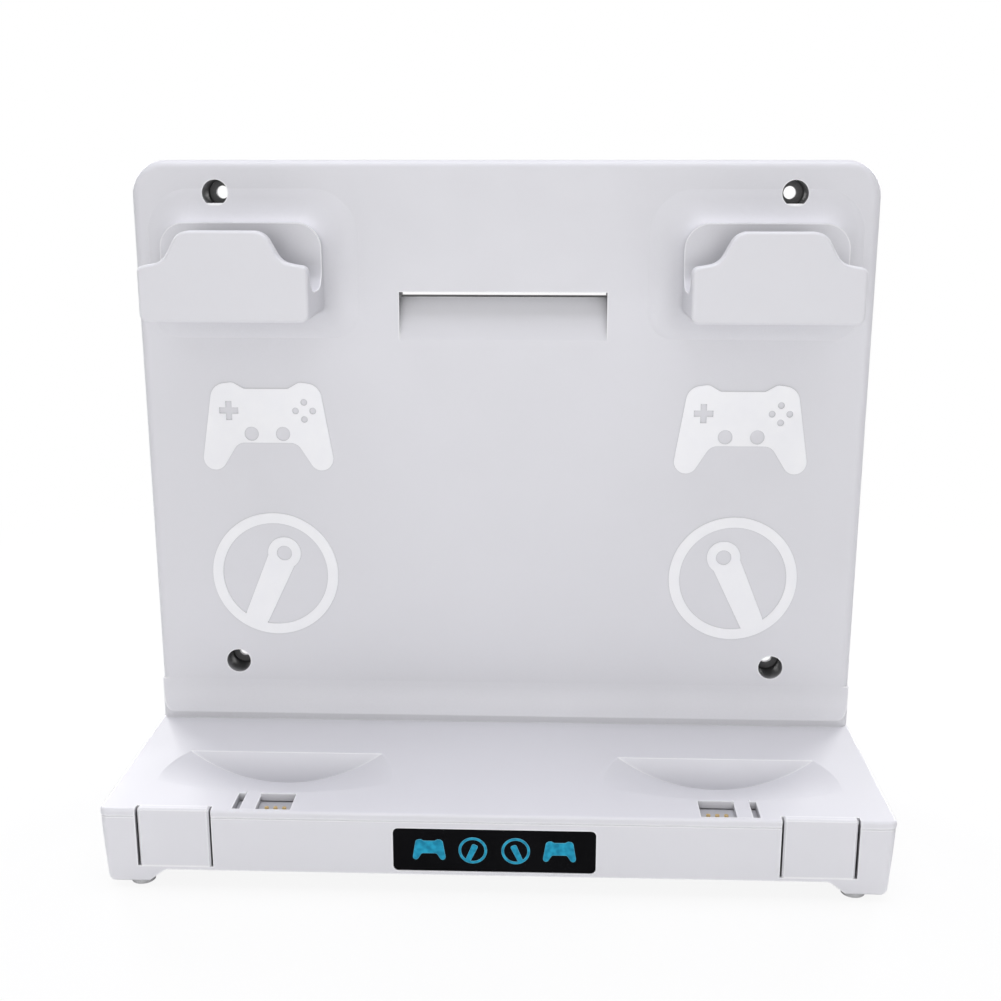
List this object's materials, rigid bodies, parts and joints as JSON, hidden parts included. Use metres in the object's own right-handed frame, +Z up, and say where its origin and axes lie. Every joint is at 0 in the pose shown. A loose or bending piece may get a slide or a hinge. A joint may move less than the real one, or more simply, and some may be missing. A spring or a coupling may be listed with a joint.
{
  "type": "game controller charging station",
  "caption": "Upright panel with moulded cradles for game pads over a shallow base with scooped charging docks and a small lit display.",
  "frame": {"origin": "on the table under the middle of the base, at the soles of the rubber feet", "axes": "+Z up, +X towards the viewer's right when facing the panel, +Y towards the back"},
  "size_m": [0.3, 0.105, 0.2704],
  "materials": {
    "shell": "satin",
    "lens": "polished",
    "lit_symbol": "satin",
    "panel_symbol": "gloss",
    "circuit_board": "satin",
    "component": "matt",
    "light": "gloss",
    "carrier": "satin",
    "contact": "polished",
    "steel": "bright",
    "wire": "satin",
    "rubber": "matt"
  },
  "bodies": {
    "root": {"panel_front_shell": "shell", "panel_rear_cover": "shell", "base_top_cover": "shell", "base_housing": "shell", "end_block_left": "shell", "end_block_right": "shell", "display_window": "lens", "display_pad_symbols": "lit_symbol", "display_ring_symbols": "lit_symbol", "display_board": "circuit_board", "status_lights": "light", "main_board": "circuit_board", "board_components": "component", "power_inlet_shell": "steel", "power_inlet_tongue": "component", "panel_wires": "wire", "dock_wires": "wire", "lid_screws": "steel", "panel_screws": "steel", "board_screws": "steel", "rear_cover_screws": "steel", "rubber_feet": "rubber", "dock_contact_carrier_left": "carrier", "dock_contacts_left": "contact", "cradle_contact_block_left": "carrier", "cradle_contacts_left": "contact", "pad_symbol_left": "panel_symbol", "ring_symbol_left": "panel_symbol", "dock_contact_carrier_right": "carrier", "dock_contacts_right": "contact", "cradle_contact_block_right": "carrier", "cradle_contacts_right": "contact", "pad_symbol_right": "panel_symbol", "ring_symbol_right": "panel_symbol"}
  },
  "joints": []
}
